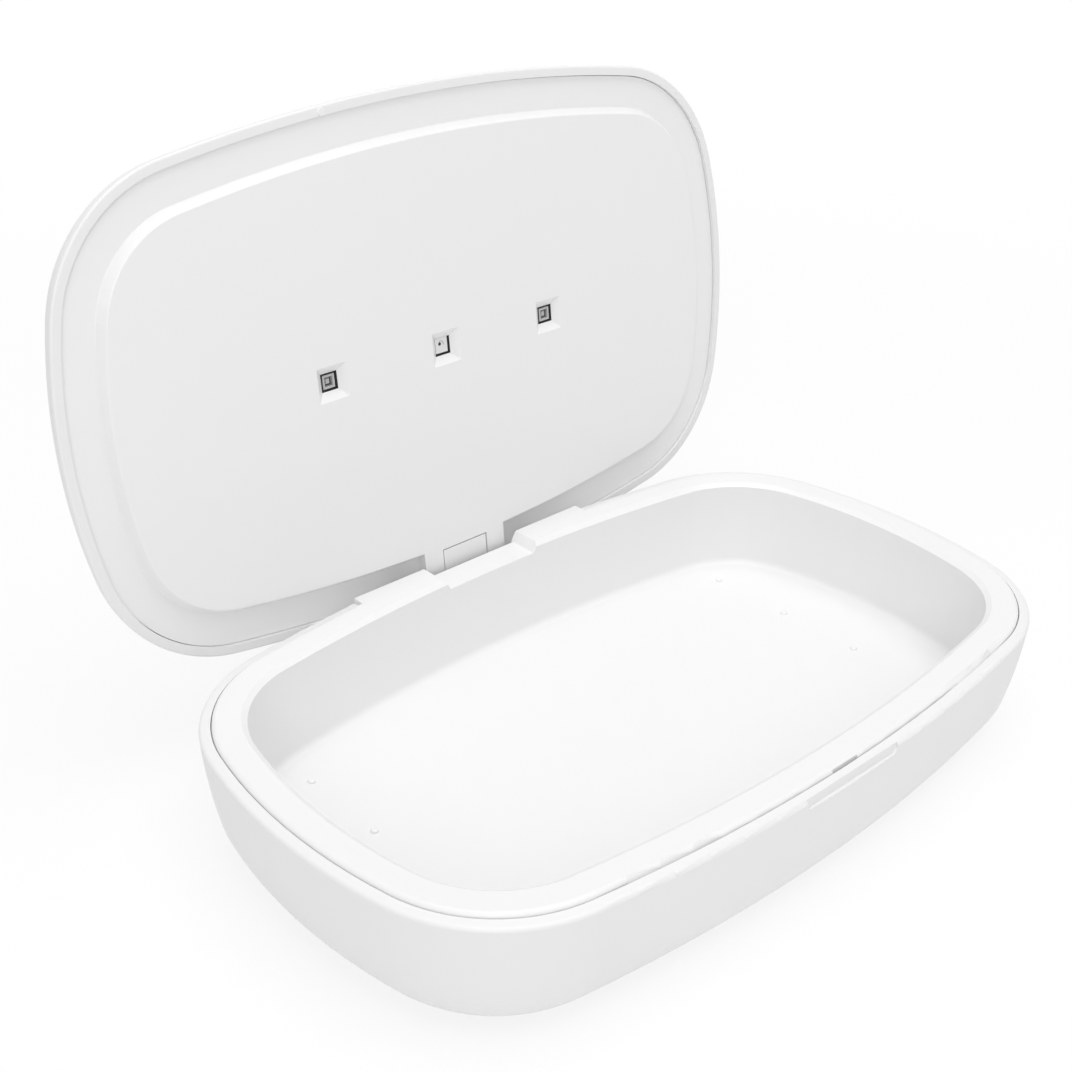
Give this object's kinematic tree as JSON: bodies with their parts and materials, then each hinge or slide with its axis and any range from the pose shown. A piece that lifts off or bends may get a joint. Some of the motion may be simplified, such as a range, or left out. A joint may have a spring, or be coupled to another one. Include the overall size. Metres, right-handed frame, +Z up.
{
  "type": "uv sanitizer box",
  "caption": "Rounded box with a deep tub and a friction-hinged lid whose ultraviolet lamps disinfect a phone, with a sprung power button on the lid.",
  "frame": {"origin": "middle of the plane the base stands on, at the lower face of the middle rubber foot", "axes": "+X along the long side to the right, +Y to the hinge at the back, +Z up"},
  "size_m": [0.2084, 0.1517, 0.1511],
  "materials": {
    "shell_white": "fine satin moulding",
    "tub_white": "fine satin moulding",
    "panel_white": "polished moulding",
    "button_white": "polished moulding",
    "rubber": "soft matt rubber",
    "steel": "plated steel",
    "magnet": "nickel plating",
    "board_green": "lacquered circuit board",
    "board_white": "white lacquered circuit board",
    "chip_black": "moulded package",
    "frame_black": "matt black moulding",
    "led_package": "ceramic package",
    "led_white": "white package",
    "lens": "clear light pipe"
  },
  "bodies": {
    "base": {"base_shell": "shell_white", "tub": "tub_white", "rubber_feet": "rubber", "base_screws": "steel", "hinge_bracket": "steel", "hinge_screws": "steel", "main_board": "board_green", "board_screws": "steel", "control_chip": "chip_black", "power_coil": "chip_black", "usb_inlet": "steel", "usb_tongue": "chip_black", "base_magnets": "magnet", "lid_sensor": "chip_black"},
    "lid": {"lid_shell": "shell_white", "lid_panel": "panel_white", "hinge_arm": "steel", "hinge_pin": "steel", "arm_screws": "steel", "hinge_tab": "tub_white", "led_board": "board_white", "led_board_screws": "steel", "led_frames": "frame_black", "uv_led_left": "led_package", "uv_led_center": "led_white", "uv_led_right": "led_package", "buzzer": "chip_black", "lid_magnets": "magnet", "closing_pip": "tub_white", "button_board": "board_green", "button_board_screws": "steel", "button_switch": "chip_black", "status_led": "led_white", "status_lens": "lens"},
    "button": {"power_button": "button_white"}
  },
  "joints": [
    {"name": "lid_hinge", "type": "hinge", "parent": "base", "child": "lid", "pos_m": [0, 0.0603, 0.0282], "axis": [1, 0, 0], "range_deg": [0, 97]},
    {"name": "button_press", "type": "slide", "parent": "lid", "child": "button", "axis": [0, -0.9924, 0.1227], "range_m": [0, 0.0006], "stiffness_N_per_m": 1500}
  ]
}
